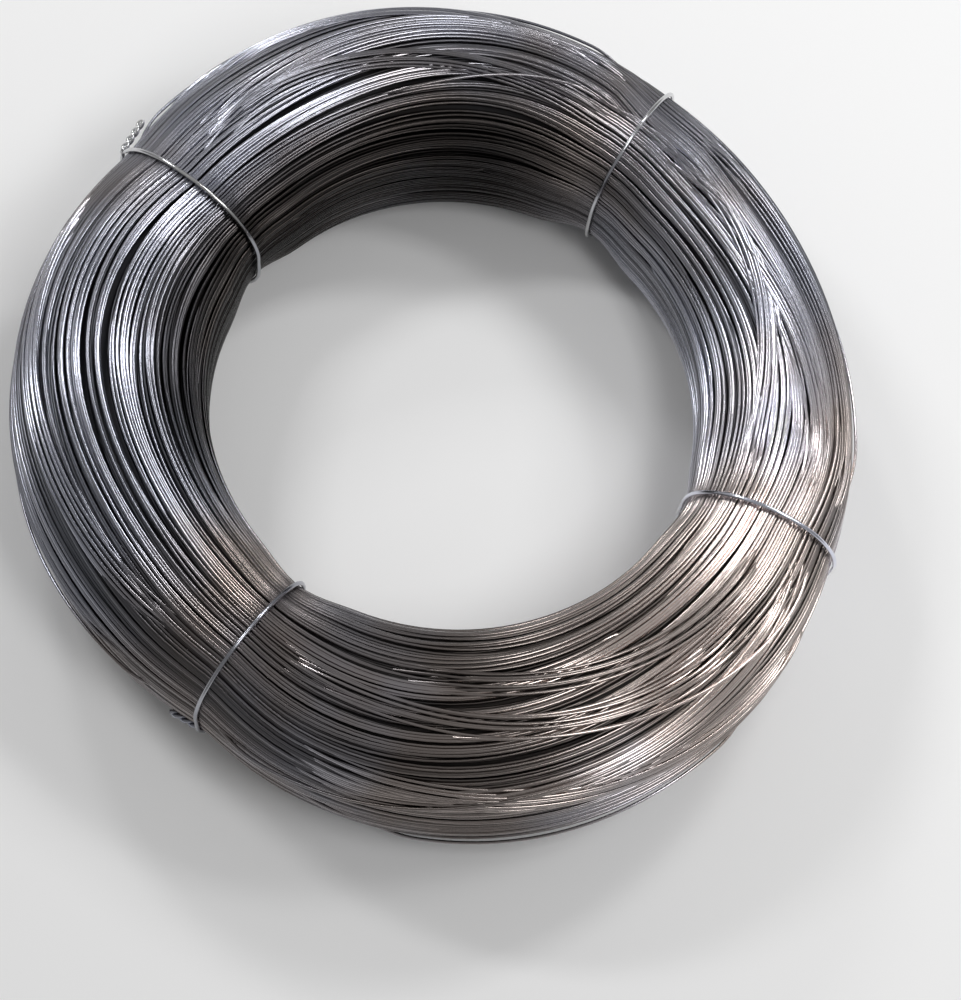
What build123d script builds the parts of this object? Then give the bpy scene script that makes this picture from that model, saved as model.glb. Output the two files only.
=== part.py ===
from build123d import *
import math
import os

# A coil of soft steel binding wire, lying flat. The origin is the middle of its bore, halfway up,
# +Z is the bore's axis and +Y points away from someone who looks at the coil from the front.

# The bore and the ends, in millimetres.
BORE_RADIUS = 114.0  # wall left by the drum that the wire was wound on
COIL_HEIGHT = 100.0  # between the flat that it rests on and its highest turns
WAIST_HEIGHT = 86.0  # height of the coil under a tie
INNER_CORNER_RADIUS = 36.0  # where the bore's wall turns into the ends
OUTER_CORNER_RADIUS = 35.0  # where the outside turns into the ends
CORNER_ROOM = 0.49  # share of a side that one corner may take up
WALL_LEAD = 1.5  # how far the turns reach past the bore's wall and the floor before they are trued

# The ties, anticlockwise seen from above, and the span that follows each of them.
TIE_ANGLES = (149.0, 238.5, 340.0, 421.0)  # degrees from +X
WAIST_DEPTHS = (80.0, 76.0, 74.0, 70.5)  # from the bore's wall to the outside of the coil, under each tie
OUTWARD_SWELLS = (10.0, 12.5, -4.5, 6.5)  # how far each span stands out past its waists
UPWARD_SWELLS = (7.0, 7.0, 0.0, 6.5)  # how far each span stands up past its waists
WAIST_HALF_ANGLE = 14.0  # how far a tie's squeeze reaches along the bore and the floor
WAIST_RELIEF = 2.5  # gap that a waist leaves to the bore's wall

# The turns that show, as ridged lays of wire side by side.
UPPER_LAYS = 18  # from the top of the bore's wall, over the top and the outside, to the floor
LOWER_LAYS = 4  # from the floor up to the bottom of the bore's wall
LAY_GROOVE = 3.0  # depth of the groove between two lays
LAY_UNEVENNESS = 0.3  # how much wider the widest lay is than a middling one
LAY_RHYTHM = 2.4  # radians from one lay's width to the next in the run of wide and narrow lays
LAY_WANDER = 0.45  # how far a lay drifts sideways along a span, in lay widths
SECTION_STEP = 10.0  # degrees between the sections that a span is drawn through, at most

# The ties.
TIE_DIAMETER = 2.0
TIE_SIDES = 6  # the wire is thin, so its round section has few sides
TIE_SEAT = 0.2  # clearance between a tie and the turns under it
TWIST_LENGTH = 18.0  # length of the two ends twisted together
TWIST_TURNS = 2.0
TWIST_STEPS = 6  # sections in each turn of the twist
TWIST_GRIP = 0.16  # how far the two ends are pressed into each other
TWIST_RISE = 8.0  # degrees that the twist leans away from the coil
TWIST_PLACES = (0.56, 0.8, 0.8, 0.8)  # share of the way from the bore, over the top, to the floor

HALF_HEIGHT = COIL_HEIGHT / 2
FLOOR = -HALF_HEIGHT


def squeeze(angle_from_tie):
    """Share of a tie's squeeze on the bore and the floor at this angle from it, from 1 down to 0."""
    if angle_from_tie >= WAIST_HALF_ANGLE:
        return 0.0
    return math.cos(math.radians(90 * angle_from_tie / WAIST_HALF_ANGLE)) ** 2


def section_sizes(span, share):
    """The coil's section at a share of the way along a span: inner, outer, lower and upper limits."""
    span_angle = span_end(span) - TIE_ANGLES[span]
    swell = math.sin(math.pi * share)
    held = squeeze(span_angle * min(share, 1 - share))
    inner = BORE_RADIUS - WALL_LEAD + held * (WALL_LEAD + WAIST_RELIEF)
    outer = BORE_RADIUS + depth_between(span, share) + swell * OUTWARD_SWELLS[span]
    lower = FLOOR - WALL_LEAD + held * (WALL_LEAD + (COIL_HEIGHT - WAIST_HEIGHT) / 2)
    upper = WAIST_HEIGHT / 2 + swell * UPWARD_SWELLS[span]
    return inner, outer, lower, upper


def depth_between(span, share):
    """The depth under a tie, carried smoothly over a span to the depth under the next tie."""
    carried = (1 - math.cos(math.pi * share)) / 2
    next_tie = (span + 1) % len(WAIST_DEPTHS)
    return WAIST_DEPTHS[span] * (1 - carried) + WAIST_DEPTHS[next_tie] * carried


def span_end(span):
    """Angle of the tie at a span's far end."""
    if span + 1 < len(TIE_ANGLES):
        return TIE_ANGLES[span + 1]
    return TIE_ANGLES[0] + 360


def corner_radii(width, height):
    """The inner and outer corner radii, each limited by the sides that it joins."""
    inner = min(INNER_CORNER_RADIUS, CORNER_ROOM * height)
    outer = min(OUTER_CORNER_RADIUS, CORNER_ROOM * height)
    fit = min(1, 2 * CORNER_ROOM * width / (inner + outer))
    return inner * fit, outer * fit


def outline_runs(sizes, grow=0.0):
    """The smooth section as two runs: over the top and the outside, and round the lower inside."""
    inner, outer, lower, upper = sizes
    inner_corner, outer_corner = (radius + grow for radius in corner_radii(outer - inner, upper - lower))
    left, right = inner - grow, outer + grow
    bottom, top = lower - grow, upper + grow
    wall_top = (left, top - inner_corner)
    top_start = (left + inner_corner, top)
    top_end = (right - outer_corner, top)
    outside_top = (right, top - outer_corner)
    outside_bottom = (right, bottom + outer_corner)
    bottom_end = (right - outer_corner, bottom)
    bottom_start = (left + inner_corner, bottom)
    wall_bottom = (left, bottom + inner_corner)
    over = Wire(
        [
            RadiusArc(wall_top, top_start, inner_corner),
            Line(top_start, top_end),
            RadiusArc(top_end, outside_top, outer_corner),
            Line(outside_top, outside_bottom),
            RadiusArc(outside_bottom, bottom_end, outer_corner),
        ]
    )
    under = Wire([RadiusArc(bottom_start, wall_bottom, inner_corner)])
    return over, under


def lay_edges(count, share):
    """Where lays of uneven width begin and end along a run, drifting sideways along a span."""
    widths = [1 + LAY_UNEVENNESS * math.sin(LAY_RHYTHM * lay) for lay in range(count)]
    edges = [sum(widths[:lay]) / sum(widths) for lay in range(count + 1)]
    sway = LAY_WANDER * math.sin(2 * math.pi * share) / count
    return [edge + sway * math.sin(math.pi * edge) for edge in edges]


def lays_along(run, count, share):
    """Lays side by side along a run, as points from groove to crown to groove."""
    edges = lay_edges(count, share)
    points = [run @ 0]
    for lay in range(1, count + 1):
        points.append(run @ ((edges[lay - 1] + edges[lay]) / 2))
        if lay < count:
            inward = (run % edges[lay]).rotate(Axis.Z, -90)
            points.append(run @ edges[lay] + inward * LAY_GROOVE)
    return [*points, run @ 1]


def radial_plane(angle):
    """The upright plane through the bore's axis at an angle: its x runs outward, its y upward."""
    outward = (math.cos(math.radians(angle)), math.sin(math.radians(angle)), 0)
    across = (math.sin(math.radians(angle)), -math.cos(math.radians(angle)), 0)
    return Plane(origin=(0, 0, 0), x_dir=outward, z_dir=across)


def coil_section(span, share):
    """One ridged section of the coil, standing in its radial plane."""
    over, under = outline_runs(section_sizes(span, share))
    points = [*lays_along(over, UPPER_LAYS, share), *lays_along(under, LOWER_LAYS, share)]
    angle = TIE_ANGLES[span] + share * (span_end(span) - TIE_ANGLES[span])
    return radial_plane(angle) * Wire(Polyline(*points, close=True).edges())


def coil_span(span):
    """The coil from one tie to the next."""
    steps = math.ceil((span_end(span) - TIE_ANGLES[span]) / SECTION_STEP)
    return Solid.make_loft([coil_section(span, step / steps) for step in range(steps + 1)])


def wire_coil():
    """The whole coil, trued to a round bore and to the flat that it rests on."""
    spans = [coil_span(span) for span in range(len(TIE_ANGLES))]
    ring = spans[0].fuse(*spans[1:])
    drum = Cylinder(BORE_RADIUS, 2 * COIL_HEIGHT)
    reach = BORE_RADIUS + max(WAIST_DEPTHS) + COIL_HEIGHT
    floor = Pos(0, 0, FLOOR - COIL_HEIGHT / 2) * Cylinder(reach, COIL_HEIGHT)
    return ring - drum - floor


def bends_along(run, count):
    """The points where a tie bends: over each lay's crown and at both ends of the run."""
    edges = lay_edges(count, 0)
    crowns = [(edges[lay] + edges[lay + 1]) / 2 for lay in range(count)]
    return [run @ place for place in (0, *crowns, 1)]


def tie_wire(tie):
    """A wire pulled tight from crown to crown round one waist, its two ends twisted together."""
    over, under = outline_runs(section_sizes(tie, 0), TIE_DIAMETER / 2 + TIE_SEAT)
    path = Polyline(*bends_along(over, UPPER_LAYS), *bends_along(under, LOWER_LAYS), close=True)
    first_run = path.edges()[0]
    start = Plane(origin=first_run @ 0.5, z_dir=first_run % 0.5)
    loop = sweep(start * tie_section(), path=path, transition=Transition.RIGHT)
    flat_tie = loop + twisted_ends(over, TWIST_PLACES[tie])
    return radial_plane(TIE_ANGLES[tie]) * flat_tie


def tie_section():
    """Section of a tie's wire."""
    return RegularPolygon(TIE_DIAMETER / 2, TIE_SIDES)


def twisted_ends(loop_run, place):
    """The two ends of a tie, twisted together and bent along the outside of the coil."""
    away = (loop_run % place).rotate(Axis.Z, 90)
    strand_offset = (TIE_DIAMETER - TWIST_GRIP) / 2
    root = loop_run @ place + away * strand_offset
    lean = math.radians(TWIST_RISE)
    along = Vector(0, 0, math.cos(lean)) + away * math.sin(lean)
    place_on_loop = Plane(origin=root, x_dir=away.cross(along), z_dir=along)
    return [place_on_loop * twisted_end(side * strand_offset) for side in (-1, 1)]


def twisted_end(offset):
    """One strand of the twist, winding round the twist's middle line."""
    steps = round(TWIST_TURNS * TWIST_STEPS)
    sections = []
    for step in range(steps + 1):
        turned = Pos(0, 0, TWIST_LENGTH * step / steps) * Rot(0, 0, 360 * step / TWIST_STEPS)
        sections.append((turned * Pos(offset, 0) * tie_section()).wire())
    return Solid.make_loft(sections, ruled=True)


def write(node, shape):
    """Writes one piece."""
    export_step(shape, f"parts/{node}.step")
    print(node, round(shape.volume), "cubic mm")


os.makedirs("parts", exist_ok=True)
write("wire_coil", wire_coil())
for tie in range(len(TIE_ANGLES)):
    write(f"tie_wire_{tie + 1}", tie_wire(tie))
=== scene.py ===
import math

import bpy
import numpy as np
from bpy.props import (
    FloatProperty,
    FloatVectorProperty,
    IntProperty,
    PointerProperty,
)
from mathutils import Matrix, Vector


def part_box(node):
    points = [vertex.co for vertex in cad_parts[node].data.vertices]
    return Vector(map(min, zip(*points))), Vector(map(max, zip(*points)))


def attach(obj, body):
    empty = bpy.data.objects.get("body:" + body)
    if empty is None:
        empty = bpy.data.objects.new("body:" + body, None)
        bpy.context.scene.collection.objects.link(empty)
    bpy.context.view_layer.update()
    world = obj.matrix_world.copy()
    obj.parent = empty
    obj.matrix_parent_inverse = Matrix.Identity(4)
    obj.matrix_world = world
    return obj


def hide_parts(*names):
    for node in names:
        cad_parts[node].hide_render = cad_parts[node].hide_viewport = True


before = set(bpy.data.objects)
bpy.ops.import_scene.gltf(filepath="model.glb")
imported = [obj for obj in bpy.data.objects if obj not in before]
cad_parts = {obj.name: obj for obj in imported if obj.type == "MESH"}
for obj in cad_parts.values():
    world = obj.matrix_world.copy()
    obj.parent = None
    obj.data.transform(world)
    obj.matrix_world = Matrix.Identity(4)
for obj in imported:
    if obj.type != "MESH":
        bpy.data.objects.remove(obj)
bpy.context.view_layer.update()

bl_info = {
    "name": "Coil of binding wire",
    "version": (1, 0, 0),
    "blender": (4, 5, 0),
    "location": "View3D > Sidebar > Wire coil",
    "description": "Winds a tied coil of annealed binding wire and lights it",
    "category": "Object",
}

TURN = 2 * math.pi
MM = 0.001
COIL_NODE = "wire_coil"
TIE_NODES = ("tie_wire_1", "tie_wire_2", "tie_wire_3", "tie_wire_4")
COIL_LOW, COIL_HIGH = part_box(COIL_NODE)
SURFACE_STEEL = "annealed_surface"
TONE = "tone"  # mesh attribute with each turn's tone, from 0 for the darkest to 1 for the lightest

# The section and the wires drawn round it.
RUN_SHARE = 0.68  # share of the turns that lie on the run from the top of the bore's wall to the floor
SHORTEST_STRAIGHT = 0.01 * MM
STRAIGHT_END = 1.001  # a straight reaches just past its end, so that rounding leaves no hole
NOISE_GAIN = 1.6  # brings smooth noise to about the range from -1 to 1
SPARE_KNOTS = 5  # knots of smooth noise past the last whole step
ROW_MARGIN = 0.05  # free edge of a wire's row in the picture map, as a share of the row

# How a turn strays, the steps as angles round the coil.
HELD_FREEDOM = 0.25  # share of its freedom that a turn keeps under a tie
WANDER_STEP = math.radians(75)
RIPPLE_STEP = math.radians(36)
RIPPLE = 0.35  # strength of the short wander beside the long one
KINK_STEP = math.radians(9)
DIP_STEP = math.radians(60)
DIP_START = 0.1  # noise over this makes a turn dip
CLOSED_GROOVE = 0.35  # share of a groove's depth that stays where its lays lie closest
EDGE_START = 0.66  # where a lay's turns begin to sink beside an open groove, from its crown at 0
EDGE_WIDTH = 0.3

# Tones of the turns.
MIDDLE_TONE = 0.5
LOCK_SPREAD = 0.32  # how far locks of like turns lie apart
TURN_SPREAD = 0.14
FADE_SPREAD = 0.16
LOCK_TURNS = 4.0
FADE_TURNS = 0.12
# painted shade: how much darker the tone of a turn that lies deep in a groove is
GROOVE_PAINTED_SHADE = 0.3
DARKEST_TURN = 0.35
LIGHTEST_TURN = 1.55

# The steel's finish, and its painted shade near the bore.
# strength of the painted shade near the bore, on the side where the bore's wall lies in shadow
COIL_PAINTED_SHADE = 0.93
PATCH_EDGE = 0.36  # how soft the edges of the brown patches are
MIX_FIRST_COLOUR, MIX_SECOND_COLOUR, MIX_RESULT = 6, 7, 2  # sockets of a Mix node set to colours

# The photograph's height in pixels, and the longer side of the camera's sensor in millimetres.
PICTURE_HEIGHT = 1000
SENSOR_SIZE = 36.0


class CoilSizes(bpy.types.PropertyGroup):
    """Sizes of the coil's section and where its ties stand."""

    bore_radius: FloatProperty(
        name="Bore radius",
        description="Radius of the wall left by the drum that the wire was wound on",
        default=114 * MM,
        unit="LENGTH",
    )
    height: FloatProperty(
        name="Height",
        description="From the floor to the highest turns",
        default=COIL_HIGH.z - COIL_LOW.z,
        unit="LENGTH",
    )
    waist_depths: FloatVectorProperty(
        name="Depths at the ties",
        description="From the bore's wall to the outside of the coil, under each tie",
        size=4,
        default=(80 * MM, 76 * MM, 74 * MM, 70.5 * MM),
        unit="LENGTH",
    )
    waist_height: FloatProperty(
        name="Height at a tie",
        description="Height of the coil under a tie",
        default=86 * MM,
        unit="LENGTH",
    )
    waist_relief: FloatProperty(
        name="Relief at a tie",
        description="Gap that a tie leaves between the turns and the bore's wall",
        default=2.5 * MM,
        unit="LENGTH",
    )
    waist_reach: FloatProperty(
        name="Reach of a tie",
        description="How far a tie's squeeze reaches along the bore and the floor",
        default=math.radians(14),
        unit="ROTATION",
    )
    inner_corner: FloatProperty(
        name="Inner corner",
        description="Radius where the bore's wall turns into the ends",
        default=36 * MM,
        unit="LENGTH",
    )
    outer_corner: FloatProperty(
        name="Outer corner",
        description="Radius where the outside turns into the ends",
        default=35 * MM,
        unit="LENGTH",
    )
    tie_angles: FloatVectorProperty(
        name="Tie angles",
        description="Where the ties stand round the bore",
        size=4,
        default=[math.radians(angle) for angle in (149, 238.5, 340, 421)],
        unit="ROTATION",
    )
    outward_swells: FloatVectorProperty(
        name="Outward swells",
        description="How far each span between two ties stands out past its waists",
        size=4,
        default=(10 * MM, 12.5 * MM, -4.5 * MM, 6.5 * MM),
        unit="LENGTH",
    )
    upward_swells: FloatVectorProperty(
        name="Upward swells",
        description="How far each span between two ties stands up past its waists",
        size=4,
        default=(7 * MM, 7 * MM, 0, 6.5 * MM),
        unit="LENGTH",
    )


class WindingSizes(bpy.types.PropertyGroup):
    """The wire and how loosely its turns lie."""

    wire_diameter: FloatProperty(
        name="Wire diameter",
        description="Diameter of the wire in the coil",
        default=1.6 * MM,
        unit="LENGTH",
    )
    surface_turns: IntProperty(
        name="Surface turns",
        description="Turns of wire that lie on the surface of the coil",
        default=186,
    )
    second_turns: IntProperty(
        name="Second turns",
        description="Turns of wire just under the surface",
        default=148,
    )
    third_turns: IntProperty(
        name="Third turns",
        description="Turns of wire deep in the gaps",
        default=96,
    )
    sideways_wander: FloatProperty(
        name="Sideways wander",
        description="How far a turn strays to either side of its place",
        default=1.5 * MM,
        unit="LENGTH",
    )
    depth_wander: FloatProperty(
        name="Depth wander",
        description="How deep a turn dips under its neighbours",
        default=1.0 * MM,
        unit="LENGTH",
    )
    kink: FloatProperty(
        name="Kink",
        description="Size of the short bends left along the wire",
        default=0.12 * MM,
        unit="LENGTH",
    )
    upper_lays: IntProperty(
        name="Upper lays",
        description="Lays of wire from the top of the bore's wall, over the outside, to the floor",
        default=18,
    )
    lay_groove: FloatProperty(
        name="Lay groove",
        description="Depth of the groove between two lays",
        default=3.0 * MM,
        unit="LENGTH",
    )
    lay_unevenness: FloatProperty(
        name="Lay unevenness",
        description="How much wider the widest lay is than a middling one",
        default=0.3,
        subtype="FACTOR",
    )
    lay_rhythm: FloatProperty(
        name="Lay rhythm",
        description="Step from one lay's width to the next in the run of wide and narrow lays",
        default=2.4,
        unit="ROTATION",
    )
    lay_wander: FloatProperty(
        name="Lay wander",
        description="How far a lay drifts sideways along a span, in lay widths",
        default=0.45,
        subtype="FACTOR",
    )
    lay_gap: FloatProperty(
        name="Lay gap",
        description="Share of a lay's width that its turns leave free beside the grooves",
        default=0.16,
        subtype="FACTOR",
    )
    span_looseness: FloatVectorProperty(
        name="Looseness of the spans",
        description="How open the grooves are in the middle of each span, starting at the first tie",
        size=4,
        default=(0.45, 1.0, 0.5, 0.9),
    )
    gap_depth: FloatProperty(
        name="Gap depth",
        description="How much deeper the turns sink beside an open groove",
        default=1.8 * MM,
        unit="LENGTH",
    )
    lock_wires: IntProperty(
        name="Wires in a lock",
        description="Wires side by side in a lock that crosses the others",
        default=8,
    )


class TieSizes(bpy.types.PropertyGroup):
    """The short wires that hold the coil together."""

    diameter: FloatProperty(
        name="Tie diameter",
        description="Diameter of a tie's wire",
        default=2.0 * MM,
        unit="LENGTH",
    )
    seat: FloatProperty(
        name="Seat",
        description="Clearance between a tie and the turns under it",
        default=0.2 * MM,
        unit="LENGTH",
    )
    twist_length: FloatProperty(
        name="Twist length",
        description="Length of the two ends twisted together",
        default=18 * MM,
        unit="LENGTH",
    )
    twist_turns: FloatProperty(
        name="Twist turns",
        description="How often the two ends turn round each other",
        default=2.0,
    )
    twist_rise: FloatProperty(
        name="Twist rise",
        description="How far the twist leans away from the coil",
        default=math.radians(8),
        unit="ROTATION",
    )
    twist_places: FloatVectorProperty(
        name="Twist places",
        description="Share of the way from the bore, over the top, to the floor, for each twist",
        size=4,
        default=(0.56, 0.8, 0.8, 0.8),
    )


class CoilColours(bpy.types.PropertyGroup):
    """Colours of the steel and of the floor."""

    steel: FloatVectorProperty(
        name="Annealed steel",
        description="Blue grey of the clean annealed wire",
        subtype="COLOR",
        size=3,
        default=(0.41, 0.42, 0.48),
        min=0,
        max=1,
    )
    oxide: FloatVectorProperty(
        name="Brown oxide",
        description="Brown cast where the wire has begun to rust",
        subtype="COLOR",
        size=3,
        default=(0.3, 0.262, 0.245),
        min=0,
        max=1,
    )
    tie_steel: FloatVectorProperty(
        name="Tie steel",
        description="Brighter steel of the ties",
        subtype="COLOR",
        size=3,
        default=(0.72, 0.72, 0.72),
        min=0,
        max=1,
    )
    floor: FloatVectorProperty(
        name="Floor",
        description="Pale floor that the coil lies on",
        subtype="COLOR",
        size=3,
        default=(0.9, 0.9, 0.9),
        min=0,
        max=1,
    )


def spans_at(sizes, angle):
    """Which span each angle lies in, how far along that span it is, and how wide the span is."""
    starts = np.array(sizes.tie_angles)
    ends = np.append(starts[1:], starts[0] + TURN)
    wrapped = (angle - starts[0]) % TURN + starts[0]
    span = np.clip(np.searchsorted(starts, wrapped, side="right") - 1, 0, len(starts) - 1)
    width = (ends - starts)[span]
    return span, (wrapped - starts[span]) / width, width


def squeeze_at(sizes, angle):
    """Share of the ties' squeeze at each angle, from 1 at a tie down to 0."""
    _, share, width = spans_at(sizes, angle)
    reach = np.minimum(width * np.minimum(share, 1 - share) / sizes.waist_reach, 1)
    return np.cos(reach * math.pi / 2) ** 2


def section_limits(sizes, angle):
    """The section at each angle: its inner, outer, lower and upper limits."""
    span, share, _ = spans_at(sizes, angle)
    swell = np.sin(math.pi * share)
    held = squeeze_at(sizes, angle)
    inner = sizes.bore_radius + held * sizes.waist_relief
    depths = np.array(sizes.waist_depths)
    carried = (1 - np.cos(math.pi * share)) / 2
    depth = depths[span] * (1 - carried) + depths[(span + 1) % len(depths)] * carried
    outer = sizes.bore_radius + depth + swell * np.array(sizes.outward_swells)[span]
    lower = -sizes.height / 2 + held * (sizes.height - sizes.waist_height) / 2
    upper = sizes.waist_height / 2 + swell * np.array(sizes.upward_swells)[span]
    return inner, outer, lower, upper


def section_corners(sizes, angle):
    """Centres and radii of the section's four corners, in the order that its outline meets them."""
    inner, outer, lower, upper = section_limits(sizes, angle)
    near = np.minimum(sizes.inner_corner, (upper - lower) / 2)
    far = np.minimum(sizes.outer_corner, (upper - lower) / 2)
    return (
        (inner + near, upper - near, near),
        (outer - far, upper - far, far),
        (outer - far, lower + far, far),
        (inner + near, lower + near, near),
    )


def section_point(sizes, angle, place, depth):
    """Points at a place round the section and a depth under it, with their outward directions.

    The way starts at the top of the bore's wall, goes over the top and down the outside, which takes
    places up to RUN_SHARE, and comes back under the coil and up the bore's wall, which takes the rest."""
    corners = section_corners(sizes, angle)
    arcs = [radius * math.pi / 2 for _, _, radius in corners]
    bends, straights = [], []
    for number, (out, up, radius) in enumerate(corners):
        start = math.pi - number * math.pi / 2
        facing = start - math.pi / 2
        next_out, next_up, next_radius = corners[(number + 1) % len(corners)]
        leave = (out + radius * math.cos(facing), up + radius * math.sin(facing))
        reach = (next_out + next_radius * math.cos(facing), next_up + next_radius * math.sin(facing))
        bends.append((out, up, radius, start, facing, leave, reach))
        straights.append(np.hypot(reach[0] - leave[0], reach[1] - leave[1]))
    run = sum(arcs[:3]) + sum(straights[:2])
    rest = arcs[3] + sum(straights[2:])
    place = place % 1
    back = (place - RUN_SHARE) / (1 - RUN_SHARE)
    travel = np.where(place < RUN_SHARE, place / RUN_SHARE * run, run + back * rest)
    out_at, up_at, facing_at, passed = (np.zeros_like(travel) for _ in range(4))
    for (out, up, radius, start, facing, leave, reach), arc, straight in zip(bends, arcs, straights):
        turned = start - (travel - passed) / radius
        here = (travel >= passed) & (travel <= passed + arc)
        out_at = np.where(here, out + radius * np.cos(turned), out_at)
        up_at = np.where(here, up + radius * np.sin(turned), up_at)
        facing_at = np.where(here, turned, facing_at)
        passed = passed + arc
        share = (travel - passed) / np.maximum(straight, SHORTEST_STRAIGHT)
        here = (travel > passed) & (share <= STRAIGHT_END)
        out_at = np.where(here, leave[0] + share * (reach[0] - leave[0]), out_at)
        up_at = np.where(here, leave[1] + share * (reach[1] - leave[1]), up_at)
        facing_at = np.where(here, facing, facing_at)
        passed = passed + straight
    out_at = out_at - depth * np.cos(facing_at)
    up_at = up_at - depth * np.sin(facing_at)
    point = np.stack([out_at * np.cos(angle), out_at * np.sin(angle), up_at], axis=-1)
    level = np.cos(facing_at)
    outward = np.stack([level * np.cos(angle), level * np.sin(angle), np.sin(facing_at)], axis=-1)
    return point, outward


def smooth_noise(rng, travel, spacing):
    """Smooth random values along a travel, one new value for each spacing."""
    steps = travel / spacing
    knots = rng.uniform(-1, 1, int(np.max(steps)) + SPARE_KNOTS)
    whole = np.floor(steps).astype(int)
    part = steps - whole
    weights = (
        (1 - part) ** 3 / 6,
        (3 * part**3 - 6 * part**2 + 4) / 6,
        (-3 * part**3 + 3 * part**2 + 3 * part + 1) / 6,
        part**3 / 6,
    )
    return NOISE_GAIN * sum(weight * knots[whole + number] for number, weight in enumerate(weights))


def quad_sheet(rows, columns, closed):
    """Faces of a sheet of corners that wraps round its columns, and where their corners lie on it."""
    strips = rows if closed else rows - 1
    row, column = np.meshgrid(np.arange(strips), np.arange(columns), indexing="ij")
    quad = ((row, column), (row, column + 1), (row + 1, column + 1), (row + 1, column))
    faces = np.stack([across % rows * columns + along % columns for across, along in quad], axis=-1)
    places = [np.stack([across / strips, along / columns], axis=-1) for across, along in quad]
    return faces.reshape(-1, 4), np.stack(places, axis=-2).reshape(-1, 2)


def swept_wire(points, outward, radius, sides, row, rows):
    """Corners, faces and picture places of a round wire along points, in one row of a picture of rows."""
    along = np.gradient(points, axis=0)
    along /= np.linalg.norm(along, axis=1, keepdims=True)
    across = np.cross(along, outward)
    across /= np.linalg.norm(across, axis=1, keepdims=True)
    lift = np.cross(across, along)
    turn = (np.arange(sides) * TURN / sides)[None, :, None]
    ring = np.cos(turn) * across[:, None, :] + np.sin(turn) * lift[:, None, :]
    corners = (points[:, None, :] + radius * ring).reshape(-1, 3)
    faces, places = quad_sheet(len(points), sides, closed=False)
    places[:, 1] = (row + ROW_MARGIN + (1 - 2 * ROW_MARGIN) * places[:, 1]) / rows
    return corners, faces, places


def mesh_piece(name, parts, tones):
    """One mesh from several parts, each with its corners, faces and picture places, and its own tone."""
    sizes = [len(part[0]) for part in parts]
    starts = np.cumsum([0, *sizes[:-1]])
    corners = np.concatenate([part[0] for part in parts])
    faces = np.concatenate([part[1] + start for part, start in zip(parts, starts)])
    places = np.concatenate([part[2] for part in parts])
    values = np.concatenate([np.broadcast_to(tone, size) for tone, size in zip(tones, sizes)])
    mesh = bpy.data.meshes.new(name)
    mesh.vertices.add(len(corners))
    mesh.vertices.foreach_set("co", corners.astype(np.float32).ravel())
    mesh.loops.add(faces.size)
    mesh.loops.foreach_set("vertex_index", faces.astype(np.int32).ravel())
    mesh.polygons.add(len(faces))
    mesh.polygons.foreach_set("loop_start", np.arange(0, faces.size, faces.shape[1], dtype=np.int32))
    mesh.update(calc_edges=True)
    mesh.polygons.foreach_set("use_smooth", np.ones(len(faces), dtype=bool))
    picture_map = mesh.uv_layers.new(name="OFBake")
    picture_map.data.foreach_set("uv", places.astype(np.float32).ravel())
    attribute = mesh.attributes.new(TONE, "FLOAT", "POINT")
    attribute.data.foreach_set("value", values.astype(np.float32))
    mesh.validate()
    piece = bpy.data.objects.new(name, mesh)
    bpy.context.scene.collection.objects.link(piece)
    return piece


def rest_on_coil(piece, material):
    """Gives a piece its finish and lets it ride with the coil."""
    piece.data.materials.append(material)
    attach(piece, "root")


def new_group(name, inputs, outputs):
    """A shader node group with its sockets, and its input and output nodes."""
    group = bpy.data.node_groups.new(name, "ShaderNodeTree")
    for label, kind, value in inputs:
        socket = group.interface.new_socket(label, in_out="INPUT", socket_type=kind)
        socket.default_value = value
    for label, kind in outputs:
        group.interface.new_socket(label, in_out="OUTPUT", socket_type=kind)
    return group, group.nodes.new("NodeGroupInput").outputs, group.nodes.new("NodeGroupOutput").inputs


def node(tree, kind, inputs=None, **settings):
    """A node with its settings, its plain values and its links."""
    made = tree.nodes.new(kind)
    for key, value in settings.items():
        setattr(made, key, value)
    for key, value in (inputs or {}).items():
        if isinstance(value, bpy.types.NodeSocket):
            tree.links.new(value, made.inputs[key])
        else:
            made.inputs[key].default_value = value
    return made


def maths(tree, operation, *values):
    """The result of an operation on plain values and links."""
    return node(tree, "ShaderNodeMath", dict(enumerate(values)), operation=operation).outputs[0]


def vector_maths(tree, operation, *vectors):
    """The node of an operation on vectors."""
    return node(tree, "ShaderNodeVectorMath", dict(enumerate(vectors)), operation=operation)


def carried_over(tree, value, start, end, low, high, kind="SMOOTHSTEP"):
    """A value's range from start to end, carried over to the range from low to high."""
    inputs = {"Value": value, "From Min": start, "From Max": end, "To Min": low, "To Max": high}
    return node(tree, "ShaderNodeMapRange", inputs, interpolation_type=kind).outputs["Result"]


def scaled(tree, colour, factor):
    """A colour times a factor."""
    return node(tree, "ShaderNodeVectorMath", {0: colour, "Scale": factor}, operation="SCALE").outputs[0]


def cloud(tree, scale, **settings):
    """Cloudy values all over a piece."""
    places = node(tree, "ShaderNodeTexCoord").outputs["Object"]
    return node(tree, "ShaderNodeTexNoise", {"Vector": places, "Scale": scale, **settings}).outputs["Fac"]


def patches_group():
    """Group: cloudy patches of one colour in another."""
    group, given, result = new_group(
        "cloudy patches",
        (
            ("Clean", "NodeSocketColor", (0.2, 0.2, 0.2, 1)),
            ("Patch", "NodeSocketColor", (0.1, 0.1, 0.1, 1)),
            ("Scale", "NodeSocketFloat", 10.0),
            ("Low", "NodeSocketFloat", 0.4),
            ("High", "NodeSocketFloat", 0.6),
        ),
        (("Colour", "NodeSocketColor"),),
    )
    clouds = cloud(group, given["Scale"], Detail=3.0, Roughness=0.55)
    mask = carried_over(group, clouds, given["Low"], given["High"], low=0.0, high=1.0)
    inputs = {"Factor": mask, MIX_FIRST_COLOUR: given["Clean"], MIX_SECOND_COLOUR: given["Patch"]}
    blended = node(group, "ShaderNodeMix", inputs, data_type="RGBA")
    group.links.new(blended.outputs[MIX_RESULT], result["Colour"])
    return group


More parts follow.
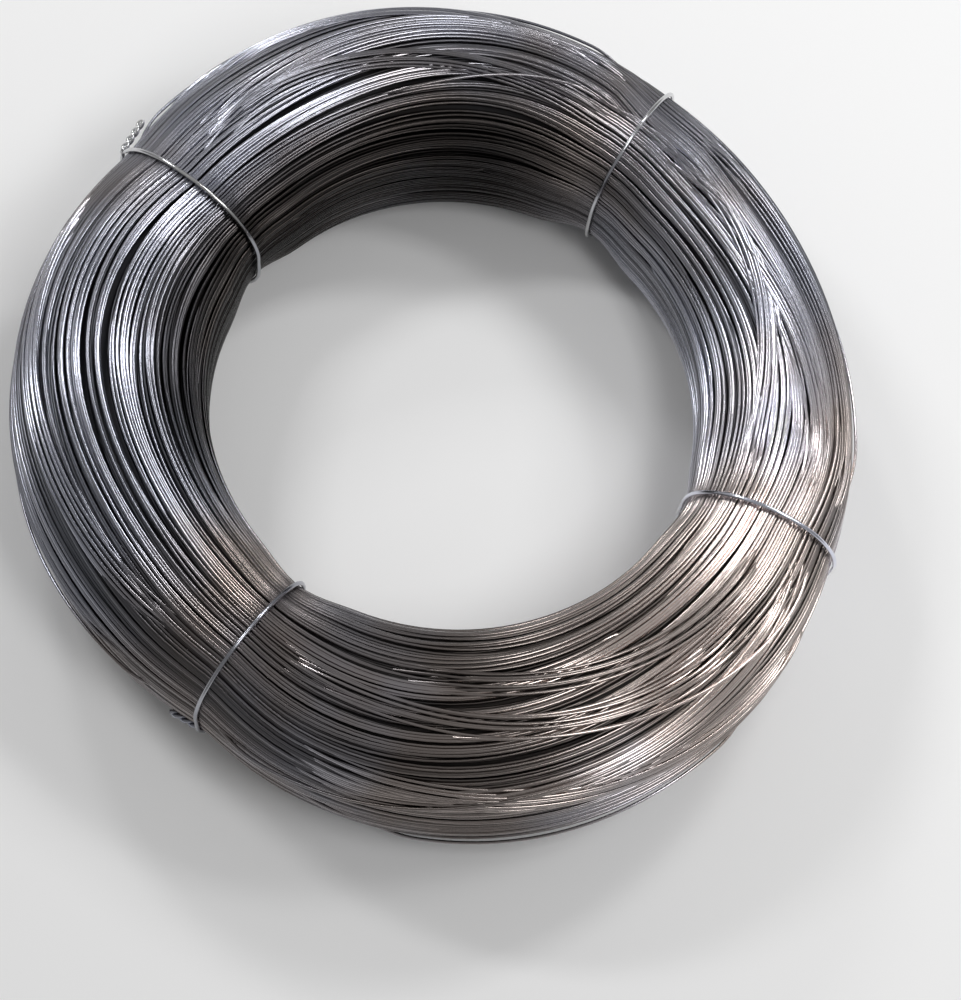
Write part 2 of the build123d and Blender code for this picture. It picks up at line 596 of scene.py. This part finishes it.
def tone_group():
    """Group: each turn's own tone, with fine specks, as a multiplier of its colour."""
    group, given, result = new_group(
        "turn tone",
        (
            ("Colour", "NodeSocketColor", (0.2, 0.2, 0.2, 1)),
            ("Dark", "NodeSocketFloat", 0.6),
            ("Light", "NodeSocketFloat", 1.4),
            ("Speckle", "NodeSocketFloat", 0.3),
            ("Scale", "NodeSocketFloat", 300.0),
        ),
        (("Colour", "NodeSocketColor"), ("Tone", "NodeSocketFloat")),
    )
    tone = node(group, "ShaderNodeAttribute", attribute_name=TONE).outputs["Fac"]
    level = carried_over(group, tone, 0.0, 1.0, low=given["Dark"], high=given["Light"], kind="LINEAR")
    speck = maths(group, "SUBTRACT", cloud(group, given["Scale"], Detail=2.0), 0.5)
    speckled = maths(group, "MULTIPLY", level, maths(group, "MULTIPLY_ADD", speck, given["Speckle"], 1.0))
    group.links.new(scaled(group, given["Colour"], speckled), result["Colour"])
    group.links.new(tone, result["Tone"])
    return group


def rust_and_painted_light_group():
    """Group: the coil's colour by side: brown rust patches with a painted colour cast by side, painted
    shade near the bore and on one side, and a painted highlight on another.

    How near a place is to a side is told by the cosine of the angle between them, from 1 down to -1."""
    group, given, result = new_group(
        "rust_and_painted_light",
        (
            ("Blue Side", "NodeSocketVector", (1.0, 0.0, 0.0)),
            ("Painted Shade Side", "NodeSocketVector", (0.0, 1.0, 0.0)),
            ("Painted Dark Side", "NodeSocketVector", (-1.0, 0.0, 0.0)),
            ("Painted Highlight Side", "NodeSocketVector", (1.0, 0.0, 0.0)),
            ("Bore Radius", "NodeSocketFloat", 0.1),
            ("Painted Shade Width", "NodeSocketFloat", 0.02),
            ("Painted Shade", "NodeSocketFloat", 0.8),
            ("Painted Darkness", "NodeSocketFloat", 0.4),
            ("Painted Highlight", "NodeSocketFloat", 0.5),
        ),
        (("Warmth", "NodeSocketFloat"), ("Shade", "NodeSocketFloat")),
    )
    places = node(group, "ShaderNodeTexCoord").outputs["Object"]
    level = vector_maths(group, "MULTIPLY", places, (1.0, 1.0, 0.0)).outputs[0]
    reach = vector_maths(group, "LENGTH", level).outputs["Value"]
    way = vector_maths(group, "NORMALIZE", level).outputs[0]
    blue, toward_shaded_side, toward_dark_side, toward_highlight_side = (
        vector_maths(group, "DOT_PRODUCT", way, given[side]).outputs["Value"]
        for side in ("Blue Side", "Painted Shade Side", "Painted Dark Side", "Painted Highlight Side")
    )
    # partly rust, partly a painted colour cast: brown patches spread further from the blue side, which
    # keeps a bluish grey
    brown = carried_over(group, blue, start=-0.25, end=-0.75, low=0.25, high=1.0)
    # painted shade: near the bore, and most on one side, the colour is darkened and turned brown
    painted_shade_end = maths(group, "ADD", given["Bore Radius"], given["Painted Shade Width"])
    by_bore = carried_over(group, reach, given["Bore Radius"], painted_shade_end, low=given["Painted Shade"], high=0.0)
    by_side = carried_over(group, toward_shaded_side, start=-0.2, end=0.65, low=0.0, high=1.0)
    painted_shade = maths(group, "MULTIPLY", by_bore, by_side)
    # painted shade: one side of the coil is darkened
    side_darkness = carried_over(group, toward_dark_side, start=0.55, end=0.95, low=0.0, high=given["Painted Darkness"])
    # painted highlight: one side of the coil is lightened
    painted_highlight = carried_over(group, toward_highlight_side, start=0.6, end=1.0, low=0.0, high=given["Painted Highlight"])
    # what stays of the colour under the painted shade near the bore, and under the painted shade of the
    # dark side
    clean, not_side_darkened = (maths(group, "SUBTRACT", 1.0, cover) for cover in (painted_shade, side_darkness))
    # Shade: the painted shade near the bore and on the dark side, raised by the painted highlight
    shade = maths(group, "MULTIPLY", clean, not_side_darkened)
    shade = maths(group, "MULTIPLY", shade, maths(group, "ADD", 1.0, painted_highlight))
    # Warmth: the larger of the brown cast by side and the browning of the painted shade near the bore
    group.links.new(maths(group, "MAXIMUM", brown, painted_shade), result["Warmth"])
    group.links.new(shade, result["Shade"])
    return group


def toward(angle):
    """The level direction at an angle."""
    return math.cos(angle), math.sin(angle), 0.0


def placed(tree, name, build, inputs):
    """A node group placed in a material, built the first time that it is used."""
    group = bpy.data.node_groups.get(name) or build()
    return node(tree, "ShaderNodeGroup", inputs, node_tree=group).outputs


def steel_material(name, clean, patch, painted_depth_shade, roughness, painted_shade=COIL_PAINTED_SHADE):
    """Annealed steel with brown patches, each turn in its own tone, its lightest turns the smoothest,
    with painted shade and a painted highlight by side.
    """
    material = bpy.data.materials.new(name)
    material.use_nodes = True
    tree = material.node_tree
    tree.nodes.clear()
    rust_and_painted_light = {
        # the blue side: fewer brown patches here, a painted colour cast as well as rust
        "Blue Side": toward(math.radians(97)),
        # painted shade near the bore on this side
        "Painted Shade Side": toward(math.radians(140)),
        # painted shade: the colour is darkened on this side
        "Painted Dark Side": toward(math.radians(208)),
        # painted highlight: the colour is lightened on this side
        "Painted Highlight Side": toward(math.radians(-28)),
        "Bore Radius": 113 * MM,
        "Painted Shade Width": 48 * MM,
        "Painted Shade": painted_shade,
        "Painted Darkness": 0.2,
        "Painted Highlight": 0.85,
    }
    rust_and_light_outputs = placed(tree, "rust_and_painted_light", rust_and_painted_light_group, rust_and_painted_light)
    low = carried_over(tree, rust_and_light_outputs["Warmth"], 0.0, 1.0, low=0.5, high=0.2, kind="LINEAR")
    high = maths(tree, "ADD", low, PATCH_EDGE)
    patches = {"Clean": (*clean, 1), "Patch": (*patch, 1), "Scale": 9.0, "Low": low, "High": high}
    patched = placed(tree, "cloudy patches", patches_group, patches)
    tones = {
        "Colour": scaled(tree, patched["Colour"], rust_and_light_outputs["Shade"]),
        # painted shade: a factor under 1 gives darker tones to the turns that lie deeper
        "Dark": DARKEST_TURN * painted_depth_shade,
        "Light": LIGHTEST_TURN * painted_depth_shade,
        "Speckle": 0.12,
        "Scale": 420.0,
    }
    toned = placed(tree, "turn tone", tone_group, tones)
    smoothest, roughest = roughness
    rough = carried_over(tree, toned["Tone"], 0.0, 1.0, low=roughest, high=smoothest, kind="LINEAR")
    inputs = {"Base Color": toned["Colour"], "Roughness": rough, "Metallic": 1.0}
    shader = node(tree, "ShaderNodeBsdfPrincipled", inputs)
    node(tree, "ShaderNodeOutputMaterial", {"Surface": shader.outputs[0]})
    return material


def lay_of(winding, still):
    """The lay that each resting place lies in, how far across it from its crown, and half its width."""
    widths = 1 + winding.lay_unevenness * np.sin(winding.lay_rhythm * np.arange(winding.upper_lays))
    edges = np.concatenate([[0], np.cumsum(widths)]) / widths.sum()
    along = np.clip(still % 1 / RUN_SHARE, 0, 1)
    lay = np.clip(np.searchsorted(edges, along, side="right") - 1, 0, winding.upper_lays - 1)
    low, high = edges[lay], edges[lay + 1]
    across = np.where(still % 1 < RUN_SHARE, 2 * (along - low) / (high - low) - 1, 0)
    return lay, across, (high - low) / 2 * RUN_SHARE


def swayed(scene, angle, still):
    """Where a resting place lies at each angle, as the lays drift sideways along a span."""
    winding = scene.coil_winding
    _, share, _ = spans_at(scene.coil_sizes, angle)
    along = np.clip(still % 1 / RUN_SHARE, 0, 1)
    drift = winding.lay_wander / winding.upper_lays * np.sin(TURN * share) * np.sin(math.pi * along)
    return still + drift * RUN_SHARE


def lay_looseness(scene, lay, angle):
    """How open the grooves beside each lay are at each angle, from 0 to 1."""
    winding = scene.coil_winding
    span, share, _ = spans_at(scene.coil_sizes, angle)
    of_spans = np.array(winding.span_looseness)
    here = of_spans.mean() + (of_spans[span] - of_spans.mean()) * np.sin(math.pi * share)
    return here * (0.5 + 0.5 * np.sin(winding.lay_rhythm * 2 * lay + 2 * angle + np.sin(angle + lay)))


def way_round(sizes):
    """About how long the way round the section is."""
    return 2 * (sizes.waist_depths[0] + sizes.waist_height)


def kept_clear(sizes, points, radius):
    """Moves points out of the bore and up from the floor where they would pass either."""
    reach = np.hypot(points[:, 0], points[:, 1])
    push = np.maximum((sizes.bore_radius + radius) / reach, 1)
    points = points * np.stack([push, push, np.ones_like(push)], axis=-1)
    points[:, 2] = np.maximum(points[:, 2], -sizes.height / 2 + radius)
    return points


def strand_tones(rng, turns, steps):
    """Tone along a long wire: locks of like turns, each turn a little apart, changing as it goes."""
    travel = np.arange(turns * steps + 1) / steps
    lock = smooth_noise(rng, travel, LOCK_TURNS)
    own = np.repeat(rng.uniform(-1, 1, turns + 1), steps)[: len(travel)]
    along = smooth_noise(rng, travel, FADE_TURNS)
    tone = MIDDLE_TONE + LOCK_SPREAD * lock + TURN_SPREAD * own + FADE_SPREAD * along
    return np.clip(tone, 0, 1)


def wound_turns(scene, name, seed, turns, steps, sides, depth, looseness, pieces):
    """A layer of turns wound as one long wire that creeps once round the section, in several meshes."""
    sizes, winding = scene.coil_sizes, scene.coil_winding
    rng = np.random.default_rng(seed)
    travel = np.arange(turns * steps + 1) * TURN / steps
    _, share, _ = spans_at(sizes, travel)
    free = HELD_FREEDOM + (1 - HELD_FREEDOM) * np.sin(math.pi * share) ** 1.5
    around = way_round(sizes)
    still = travel / TURN / turns
    wander = smooth_noise(rng, travel, WANDER_STEP) + RIPPLE * smooth_noise(rng, travel, RIPPLE_STEP)
    still = still + wander * winding.sideways_wander * looseness * free / around
    lay, across, half_width = lay_of(winding, still)
    opened = lay_looseness(scene, lay, travel)
    still = still - np.sin(math.pi * across) * winding.lay_gap * free * half_width
    still = still + smooth_noise(rng, travel, KINK_STEP) * winding.kink / around
    groove = winding.lay_groove * across**2 * (CLOSED_GROOVE + (1 - CLOSED_GROOVE) * opened)
    edge = np.clip((np.abs(across) - EDGE_START) / EDGE_WIDTH, 0, 1)
    groove = groove + winding.gap_depth * opened**2 * edge * edge * (3 - 2 * edge)
    dip = np.clip(smooth_noise(rng, travel, DIP_STEP) - DIP_START, 0, None)
    dips = depth + groove * free + dip * winding.depth_wander * looseness
    radius = winding.wire_diameter / 2
    points, outward = section_point(sizes, travel, swayed(scene, travel, still), radius + dips)
    points = kept_clear(sizes, points, radius)
    in_groove = groove * free / winding.lay_groove
    # painted shade: turns deep in a groove get a darker tone
    tones = np.clip(strand_tones(rng, turns, steps) - GROOVE_PAINTED_SHADE * in_groove, 0, 1)
    made = []
    for piece in range(pieces):
        rows = range(piece * turns // pieces, (piece + 1) * turns // pieces)
        spans = [slice(row * steps, (row + 1) * steps + 1) for row in rows]
        parts = [
            swept_wire(points[here], outward[here], radius, sides, number, len(rows))
            for number, here in enumerate(spans)
        ]
        part_tones = [np.repeat(tones[here], sides) for here in spans]
        made.append(mesh_piece(f"{name}_{piece + 1}", parts, part_tones))
    return made


class COIL_OT_surface_turns(bpy.types.Operator):
    """Winds the turns that lie on the surface of the coil"""

    bl_idname = "coil.surface_turns"
    bl_label = "Wind surface turns"

    def execute(self, context):
        scene = context.scene
        colours = scene.coil_colours
        steel = steel_material(
            SURFACE_STEEL, colours.steel, colours.oxide, painted_depth_shade=1.0, roughness=(0.15, 0.3)
        )
        made = wound_turns(
            scene, "surface_turns", seed=11, turns=scene.coil_winding.surface_turns,
            steps=144, sides=6, depth=0.0, looseness=1.0, pieces=2,
        )
        for piece in made:
            rest_on_coil(piece, steel)
        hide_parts(COIL_NODE)
        return {"FINISHED"}


class COIL_OT_crossing_locks(bpy.types.Operator):
    """Lays locks of turns that cross the others between two ties"""

    bl_idname = "coil.crossing_locks"
    bl_label = "Lay crossing locks"

    # Span, shares of the span where the lock rises and sinks, and its places there as shares of the
    # way from the bore, over the top, to the floor.
    locks = (
        (0, 0.05, 0.9, 0.50, 0.41),
        (0, 0.1, 0.9, 0.66, 0.59),
        (1, 0.04, 0.8, 0.30, 0.38),
        (1, 0.15, 0.97, 0.52, 0.43),
        (1, 0.1, 0.95, 0.48, 0.56),
        (1, 0.25, 0.97, 0.24, 0.31),
        (1, 0.1, 0.95, 0.70, 0.62),
        (2, 0.03, 0.95, 0.38, 0.28),
        (2, 0.05, 0.97, 0.22, 0.31),
        (2, 0.05, 0.95, 0.49, 0.42),
        (3, 0.03, 0.9, 0.26, 0.33),
        (3, 0.1, 0.97, 0.42, 0.35),
        (3, 0.05, 0.85, 0.42, 0.49),
        (3, 0.15, 0.97, 0.60, 0.53),
    )
    # Single turns that stand a little off the others, told in the same way.
    strays = (
        (0, 0.02, 0.55, 0.60, 0.68),
        (0, 0.4, 0.98, 0.74, 0.63),
        (1, 0.2, 0.8, 0.80, 0.70),
        (1, 0.3, 0.95, 0.36, 0.46),
        (1, 0.02, 0.6, 0.58, 0.47),
        (2, 0.1, 0.9, 0.56, 0.66),
        (3, 0.1, 0.7, 0.50, 0.60),
        (3, 0.4, 0.98, 0.66, 0.56),
        (3, 0.05, 0.6, 0.30, 0.22),
    )
    steps = 60
    sides = 6
    lock_rise = 1.1 * MM  # how far a lock's middle stands off the turns under it
    lock_crown = 0.9 * MM  # how much lower its outer wires lie
    stray_rise = 2.2 * MM
    sunk = 4.0 * MM  # how deep both ends of a wire lie under the surface
    surfacing = 2.2  # how soon a wire comes up
    closeness = 0.85  # width of a lock's middle, as a share of its wires side by side
    splay = 0.25  # how much wider its ends are
    loose_end = 0.05  # how far a wire's ends stray along its span
    wander = 0.8 * MM
    wander_step = 0.4
    lift_wander = 0.3 * MM
    lift_step = 0.3
    lock_contrast = 0.25  # how far a lock's tone lies from the middle, at most
    wire_contrast = 0.2  # how far a wire's tone lies from its lock's

    def execute(self, context):
        scene = context.scene
        winding = scene.coil_winding
        rng = np.random.default_rng(41)
        parts, tones = [], []
        lanes = [(lock, side) for lock in self.locks for side in np.linspace(-1, 1, winding.lock_wires)]
        lanes += [(stray, None) for stray in self.strays]
        for row, (lane, side) in enumerate(lanes):
            points, outward = self.path(scene, rng, lane, side)
            radius = winding.wire_diameter / 2
            parts.append(swept_wire(points, outward, radius, self.sides, row, len(lanes)))
            tone = MIDDLE_TONE + self.lock_contrast * math.sin(11 * sum(lane))
            tone += rng.uniform(-self.wire_contrast, self.wire_contrast)
            tones.append(np.clip(tone, 0, 1))
        steel = bpy.data.materials[SURFACE_STEEL]
        rest_on_coil(mesh_piece("crossing_locks", parts, tones), steel)
        return {"FINISHED"}

    def path(self, scene, rng, lane, side):
        """Middle line of one wire at a side of its lock, from -1 to 1, or of a stray with no side."""
        sizes, winding = scene.coil_sizes, scene.coil_winding
        span, rises, sinks, first_place, last_place = lane
        starts = np.append(sizes.tie_angles, sizes.tie_angles[0] + TURN)
        width = starts[span + 1] - starts[span]
        share = np.linspace(0, 1, self.steps)
        start_stray, end_stray = rng.uniform(-self.loose_end, self.loose_end, 2)
        along = rises + start_stray + share * (sinks - rises + end_stray - start_stray)
        angle = starts[span] + np.clip(along, 0, 1) * width
        eased = (1 - np.cos(math.pi * share)) / 2
        way = first_place + eased * (last_place - first_place)
        spread = winding.lock_wires * winding.wire_diameter / 2
        spread = spread * (self.closeness + self.splay * (2 * share - 1) ** 2)
        wander = self.wander * smooth_noise(rng, share, self.wander_step)
        place = way * RUN_SHARE + ((side or 0) * spread + wander) / way_round(sizes)
        buried = np.clip(1 - np.sin(math.pi * share) * self.surfacing, 0, 1) ** 1.5
        rise = self.stray_rise if side is None else self.lock_rise - self.lock_crown * side**2
        lift = self.lift_wander * smooth_noise(rng, share, self.lift_step)
        radius = winding.wire_diameter / 2
        depth = radius + (-rise + buried * (self.sunk + rise) + lift)
        points, outward = section_point(sizes, angle, place, depth)
        return kept_clear(sizes, points, radius), outward


class COIL_OT_buried_turns(bpy.types.Operator):
    """Winds the turns that show through the gaps in the surface"""

    bl_idname = "coil.buried_turns"
    bl_label = "Wind buried turns"

    def execute(self, context):
        scene = context.scene
        colours, winding = scene.coil_colours, scene.coil_winding
        # painted shade: the buried turns are a darker copy of the surface steel
        steel = steel_material(
            "annealed_buried_shaded", colours.steel, colours.oxide, painted_depth_shade=0.45, roughness=(0.3, 0.45)
        )
        second = wound_turns(
            scene, "second_turns", seed=23, turns=winding.second_turns,
            steps=108, sides=5, depth=1.5 * MM, looseness=1.2, pieces=1,
        )
        third = wound_turns(
            scene, "third_turns", seed=31, turns=winding.third_turns,
            steps=96, sides=5, depth=3.2 * MM, looseness=1.0, pieces=1,
        )
        for piece in (*second, *third):
            rest_on_coil(piece, steel)
        return {"FINISHED"}


class COIL_OT_packed_middle(bpy.types.Operator):
    """Fills the middle of the coil with its packed turns"""

    bl_idname = "coil.packed_middle"
    bl_label = "Pack the middle"

    section_steps = 96
    steps_round = 120
    depth = 8.5 * MM

    def execute(self, context):
        scene = context.scene
        colours = scene.coil_colours
        # painted shade: the packed middle is a much darker copy of the surface steel
        steel = steel_material(
            "annealed_middle_shaded", colours.steel, colours.oxide, painted_depth_shade=0.2, roughness=(0.5, 0.6)
        )
        place = np.repeat(np.arange(self.section_steps) / self.section_steps, self.steps_round)
        angle = np.tile(np.arange(self.steps_round) * TURN / self.steps_round, self.section_steps)
        points, _ = section_point(scene.coil_sizes, angle, place, self.depth)
        faces, places = quad_sheet(self.section_steps, self.steps_round, closed=True)
        part = (points, faces, places[:, ::-1])
        rest_on_coil(mesh_piece("packed_middle", [part], [MIDDLE_TONE]), steel)
        return {"FINISHED"}


class COIL_OT_ties(bpy.types.Operator):
    """Ties the coil at its waists"""

    bl_idname = "coil.ties"
    bl_label = "Tie the waists"

    loop_steps = 220
    twist_steps = 40
    handover = 3  # steps left out of the loop at each end, where the twist takes over
    sides = 10
    lump = 0.35 * MM  # how far a tie rides up over the turns under it
    lump_step = 0.03
    sway = 0.5 * MM  # how far it strays sideways
    sway_step = 0.2
    twist_grip = 0.95  # distance of the twisted ends from the twist's middle, as a share of their radius

    def execute(self, context):
        scene = context.scene
        colours = scene.coil_colours
        # the ties take a little of the painted shade near the bore
        steel = steel_material(
            "tie_steel", colours.tie_steel, colours.steel, painted_depth_shade=1.0, roughness=(0.16, 0.26), painted_shade=0.2
        )
        for number, node_name in enumerate(TIE_NODES):
            piece = self.tie(scene, number)
            rest_on_coil(piece, steel)
            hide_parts(node_name)
        return {"FINISHED"}

    def tie(self, scene, number):
        """One tie: a twist, the way round the section and the twist again, as one wire."""
        sizes, ties = scene.coil_sizes, scene.coil_ties
        angle = sizes.tie_angles[number]
        radius = ties.diameter / 2
        root = ties.twist_places[number] * RUN_SHARE
        rng = np.random.default_rng(50 + number)
        around = np.linspace(0, 1, self.loop_steps)
        lumps = self.lump * (1 + smooth_noise(rng, around, self.lump_step)) / 2
        sway = self.sway * smooth_noise(rng, around, self.sway_step) * np.sin(math.pi * around)
        loop, outward = section_point(sizes, angle, root + around, -(radius + ties.seat + lumps))
        sideways = np.array([-math.sin(angle), math.cos(angle), 0])
        loop = loop + sway[:, None] * sideways
        away = outward[0]
        along = np.cross(away, np.cross(-sideways, away))
        along = along * math.cos(ties.twist_rise) + away * math.sin(ties.twist_rise)
        across = np.cross(along, away)
        share = np.linspace(0, 1, self.twist_steps)
        middle = loop[0] + away * radius + share[:, None] * ties.twist_length * along
        twists = []
        for side in (0, math.pi):
            phase = (side + share * TURN * ties.twist_turns)[:, None]
            offset = np.cos(phase) * across + np.sin(phase) * away
            twists.append(middle + radius * self.twist_grip * offset)
        kept = slice(self.handover, -self.handover)
        points = np.concatenate([twists[0][::-1], loop[kept], twists[1]])
        twist_facing = np.tile(away, (self.twist_steps, 1))
        facing = np.concatenate([twist_facing, outward[kept], twist_facing])
        part = swept_wire(points, facing, radius, self.sides, row=0, rows=1)
        return mesh_piece(TIE_NODES[number] + "_wire", [part], [MIDDLE_TONE])


class COIL_OT_stage(bpy.types.Operator):
    """Lays the floor, hangs the lights and sets up the camera"""

    bl_idname = "coil.stage"
    bl_label = "Set the stage"

    camera_place = Vector((-0.0228, -0.3921, 0.9999))
    camera_target = Vector((0.0158, -0.0462, 0.0))
    camera_roll = math.radians(11.88)
    focal_pixels = 2310
    floor_reach = 6.0
    room_strength = 0.26
    # Softboxes level over the coil, round the place whose light the floor would mirror to the
    # camera: name, the way from that place, how far, length along the way, width and power.
    mirror_place = Vector((0.03, 0.50, 1.2))
    softboxes = (
        ("left_softbox", 178, 0.9, 0.5, 0.16, 6.0),
        ("back_left_softbox", 128, 1.3, 0.6, 0.22, 9.0),
        ("back_right_softbox", 28, 0.6, 0.5, 0.22, 5.8),
        ("right_softbox", -14, 1.1, 0.6, 0.22, 5.8),
        ("front_right_softbox", -66, 1.0, 0.6, 0.3, 4.4),
    )

    def execute(self, context):
        scene = context.scene
        self.lay_floor(scene)
        for softbox in self.softboxes:
            self.hang_softbox(scene, *softbox)
        self.light_room(scene)
        self.set_camera(scene)
        scene.view_settings.view_transform = "Standard"
        return {"FINISHED"}

    def lay_floor(self, scene):
        """A wide pale floor under the coil."""
        level = -scene.coil_sizes.height / 2
        reach = self.floor_reach
        mesh = bpy.data.meshes.new("floor")
        corners = [(x * reach, y * reach, level) for x, y in ((-1, -1), (1, -1), (1, 1), (-1, 1))]
        mesh.from_pydata(corners, [], [(0, 1, 2, 3)])
        floor = bpy.data.objects.new("floor", mesh)
        scene.collection.objects.link(floor)
        paint = bpy.data.materials.new("pale_floor")
        paint.use_nodes = True
        shader = paint.node_tree.nodes["Principled BSDF"]
        shader.inputs["Base Color"].default_value = (*scene.coil_colours.floor, 1)
        shader.inputs["Roughness"].default_value = 0.9
        shader.inputs["Specular IOR Level"].default_value = 0.1
        mesh.materials.append(paint)

    def hang_softbox(self, scene, name, way, far, length, width, power):
        """One softbox, level over the coil, its length along the way to it."""
        lamp = bpy.data.lights.new(name, "AREA")
        lamp.shape = "RECTANGLE"
        lamp.size = length
        lamp.size_y = width
        lamp.energy = power
        holder = bpy.data.objects.new(name, lamp)
        way = math.radians(way)
        holder.location = self.mirror_place + far * Vector(toward(way))
        holder.rotation_euler = (0, 0, way)
        scene.collection.objects.link(holder)

    def light_room(self, scene):
        """An even pale room round the coil."""
        room = bpy.data.worlds.new("pale_room")
        room.use_nodes = True
        background = room.node_tree.nodes["Background"]
        background.inputs["Color"].default_value = (1, 1, 1, 1)
        background.inputs["Strength"].default_value = self.room_strength
        scene.world = room

    def set_camera(self, scene):
        """The camera, at the photograph's viewing angle."""
        lens = bpy.data.cameras.new("camera")
        lens.sensor_fit = "AUTO"
        lens.sensor_width = SENSOR_SIZE
        lens.lens = self.focal_pixels / PICTURE_HEIGHT * SENSOR_SIZE
        camera = bpy.data.objects.new("camera", lens)
        track = (self.camera_target - self.camera_place).to_track_quat("-Z", "Y").to_matrix().to_4x4()
        roll = Matrix.Rotation(self.camera_roll, 4, "Z")
        camera.matrix_world = Matrix.Translation(self.camera_place) @ track @ roll
        scene.collection.objects.link(camera)
        scene.camera = camera


class COIL_PT_panel(bpy.types.Panel):
    """Lists the coil's sizes and the steps that build it"""

    bl_idname = "COIL_PT_panel"
    bl_label = "Coil of binding wire"
    bl_space_type = "VIEW_3D"
    bl_region_type = "UI"
    bl_category = "Wire coil"

    def draw(self, context):
        for group in SETTINGS:
            box = self.layout.box()
            values = getattr(context.scene, group)
            for name in values.__annotations__:
                box.prop(values, name)
        for operator in OPERATORS:
            self.layout.operator(operator.bl_idname)


SETTINGS = {
    "coil_sizes": CoilSizes,
    "coil_winding": WindingSizes,
    "coil_ties": TieSizes,
    "coil_colours": CoilColours,
}
OPERATORS = (
    COIL_OT_surface_turns,
    COIL_OT_crossing_locks,
    COIL_OT_buried_turns,
    COIL_OT_packed_middle,
    COIL_OT_ties,
    COIL_OT_stage,
)


def register():
    for name, group in SETTINGS.items():
        bpy.utils.register_class(group)
        setattr(bpy.types.Scene, name, PointerProperty(type=group))
    for operator in OPERATORS:
        bpy.utils.register_class(operator)
    bpy.utils.register_class(COIL_PT_panel)


def unregister():
    bpy.utils.unregister_class(COIL_PT_panel)
    for operator in reversed(OPERATORS):
        bpy.utils.unregister_class(operator)
    for name, group in SETTINGS.items():
        delattr(bpy.types.Scene, name)
        bpy.utils.unregister_class(group)


def main():
    register()
    for operator in OPERATORS:
        family, action = operator.bl_idname.split(".")
        getattr(getattr(bpy.ops, family), action)()


if __name__ == "__main__":
    main()
